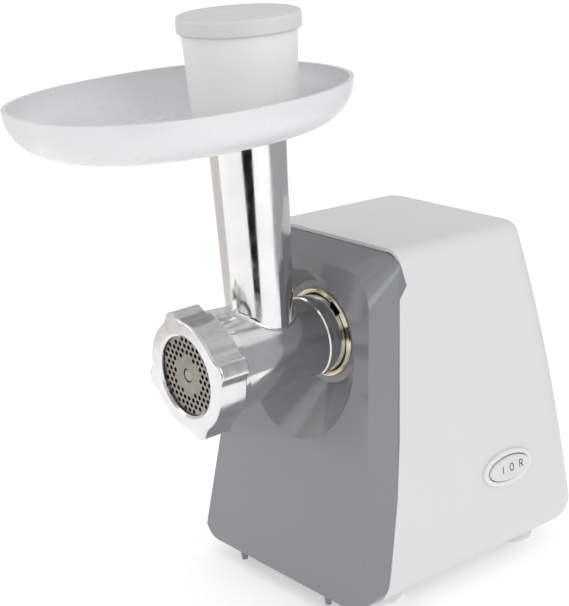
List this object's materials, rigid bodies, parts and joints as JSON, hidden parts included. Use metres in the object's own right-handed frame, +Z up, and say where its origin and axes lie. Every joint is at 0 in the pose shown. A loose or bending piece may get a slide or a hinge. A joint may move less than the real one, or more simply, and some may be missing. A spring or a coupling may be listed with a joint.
{
  "type": "electric meat grinder",
  "caption": "Electric meat grinder with a sloped motor housing, a polished screw-fed grinding head and ring nut, an oval food tray and a capped pusher.",
  "frame": {"origin": "on the worktop, at the middle of the overall width and depth", "axes": "+Z up, -Y to the front where the mince comes out, +X to the switch side"},
  "size_m": [0.164, 0.3266, 0.3567],
  "materials": {
    "front_fascia": "mid grey glossy ABS",
    "main_housing": "white satin ABS",
    "base_plate": "white-grey moulded underside",
    "suction_feet": "pale grey soft rubber",
    "base_screws": "zinc plated",
    "fascia_screws": "zinc plated",
    "switch_bezel": "white glossy",
    "switch_body": "black moulded",
    "cord_inlet": "pale grey grommet",
    "barrel_socket": "dark cast zinc",
    "socket_trim_ring": "pale gold satin ring",
    "gearbox_housing": "glass-filled nylon",
    "gearbox_cover": "glass-filled nylon",
    "gearbox_screws": "zinc plated",
    "mounting_screws": "zinc plated",
    "socket_screws": "zinc plated",
    "output_bushes": "sintered bronze",
    "gear_axles": "ground steel",
    "motor_stator": "stacked laminations",
    "field_coils": "enamelled copper windings",
    "rotor_bearings": "ground steel",
    "motor_bracket": "die cast",
    "motor_screws": "zinc plated",
    "brush_holders": "pressed brass",
    "carbon_brushes": "graphite",
    "shaft_seal": "black nitrile",
    "lock_pin_spring": "spring steel",
    "rotor_shaft": "ground steel",
    "motor_pinion": "hobbed steel",
    "armature_core": "stacked laminations",
    "armature_winding": "enamelled copper windings",
    "commutator": "copper bars",
    "cooling_fan": "black nylon",
    "first_stage_wheel": "natural acetal",
    "first_stage_pinion": "sintered steel",
    "second_stage_wheel": "natural acetal",
    "second_stage_pinion": "sintered steel",
    "output_gear": "natural acetal",
    "output_shaft": "machined steel",
    "auger": "die cast",
    "thrust_washer": "acetal",
    "cutting_blade": "ground stainless steel",
    "grinder_head": "polished die casting",
    "plate_key": "pressed pin",
    "hole_plate": "satin steel",
    "ring_nut": "polished die casting",
    "food_tray": "white satin",
    "pusher": "white satin",
    "pusher_cap": "white satin",
    "switch_rocker": "white glossy with dark printed marks",
    "release_button": "dark grey glossy",
    "lock_pin": "ground steel"
  },
  "bodies": {
    "root": {"front_fascia": "front_fascia", "main_housing": "main_housing", "base_plate": "base_plate", "suction_feet": "suction_feet", "base_screws": "base_screws", "fascia_screws": "fascia_screws", "switch_bezel": "switch_bezel", "switch_body": "switch_body", "cord_inlet": "cord_inlet", "barrel_socket": "barrel_socket", "socket_trim_ring": "socket_trim_ring", "gearbox_housing": "gearbox_housing", "gearbox_cover": "gearbox_cover", "gearbox_screws": "gearbox_screws", "mounting_screws": "mounting_screws", "socket_screws": "socket_screws", "output_bushes": "output_bushes", "gear_axles": "gear_axles", "motor_stator": "motor_stator", "field_coils": "field_coils", "rotor_bearings": "rotor_bearings", "motor_bracket": "motor_bracket", "motor_screws": "motor_screws", "brush_holders": "brush_holders", "carbon_brushes": "carbon_brushes", "shaft_seal": "shaft_seal", "lock_pin_spring": "lock_pin_spring"},
    "rotor": {"rotor_shaft": "rotor_shaft", "motor_pinion": "motor_pinion", "armature_core": "armature_core", "armature_winding": "armature_winding", "commutator": "commutator", "cooling_fan": "cooling_fan"},
    "first_gear": {"first_stage_wheel": "first_stage_wheel", "first_stage_pinion": "first_stage_pinion"},
    "second_gear": {"second_stage_wheel": "second_stage_wheel", "second_stage_pinion": "second_stage_pinion"},
    "output": {"output_gear": "output_gear", "output_shaft": "output_shaft", "auger": "auger", "thrust_washer": "thrust_washer", "cutting_blade": "cutting_blade"},
    "head": {"grinder_head": "grinder_head", "plate_key": "plate_key"},
    "plate": {"hole_plate": "hole_plate"},
    "nut": {"ring_nut": "ring_nut"},
    "tray": {"food_tray": "food_tray"},
    "pusher": {"pusher": "pusher"},
    "cap": {"pusher_cap": "pusher_cap"},
    "rocker": {"switch_rocker": "switch_rocker"},
    "button": {"release_button": "release_button"},
    "lock": {"lock_pin": "lock_pin"}
  },
  "joints": [
    {"name": "motor_spin", "type": "hinge", "parent": "root", "child": "rotor", "pos_m": [0, 0, 0.05718], "axis": [0, 1, 0], "continuous": true},
    {"name": "first_gear_spin", "type": "hinge", "parent": "root", "child": "first_gear", "pos_m": [0.014, 0, 0.08773], "axis": [0, 1, 0], "continuous": true},
    {"name": "second_gear_spin", "type": "hinge", "parent": "root", "child": "second_gear", "pos_m": [-0.02, 0, 0.11109], "axis": [0, 1, 0], "continuous": true},
    {"name": "output_spin", "type": "hinge", "parent": "root", "child": "output", "pos_m": [0, 0, 0.158], "axis": [0, 1, 0], "continuous": true},
    {"name": "head_twist", "type": "hinge", "parent": "root", "child": "head", "pos_m": [0, 0, 0.158], "axis": [0, -1, 0], "range_deg": [0, 50]},
    {"name": "plate_slide", "type": "slide", "parent": "head", "child": "plate", "axis": [0, -1, 0], "range_m": [0, 0.0121]},
    {"name": "nut_turn", "type": "hinge", "parent": "plate", "child": "nut", "pos_m": [0, 0, 0.158], "axis": [0, -1, 0], "range_deg": [0, 1440]},
    {"name": "tray_lift", "type": "slide", "parent": "head", "child": "tray", "axis": [0, 0, 1], "range_m": [0, 0.03]},
    {"name": "pusher_lift", "type": "slide", "parent": "tray", "child": "pusher", "axis": [0, 0, 1], "range_m": [0, 0.085]},
    {"name": "cap_lift", "type": "slide", "parent": "pusher", "child": "cap", "axis": [0, 0, 1], "range_m": [0, 0.02]},
    {"name": "rocker_tilt", "type": "hinge", "parent": "root", "child": "rocker", "pos_m": [0.07736, 0.10046, 0.0666], "axis": [-0.1221, 0, 0.9925], "range_deg": [-8, 8]},
    {"name": "button_press", "type": "slide", "parent": "root", "child": "button", "axis": [0, 1, 0], "range_m": [0, 0.003], "stiffness_N_per_m": 300, "springref_m": -0.002},
    {"name": "lock_slide", "type": "slide", "parent": "root", "child": "lock", "axis": [-0.788, 0, 0.6157], "range_m": [0, 0.003]}
  ],
  "couplings": [
    {"joint": "first_gear_spin", "follows": "motor_spin", "ratio": -0.16667},
    {"joint": "second_gear_spin", "follows": "motor_spin", "ratio": 0.037037},
    {"joint": "output_spin", "follows": "motor_spin", "ratio": -0.0079365},
    {"joint": "plate_slide", "follows": "nut_turn", "m_per_rad": 0.00047746},
    {"joint": "lock_slide", "follows": "button_press", "ratio": 1}
  ]
}
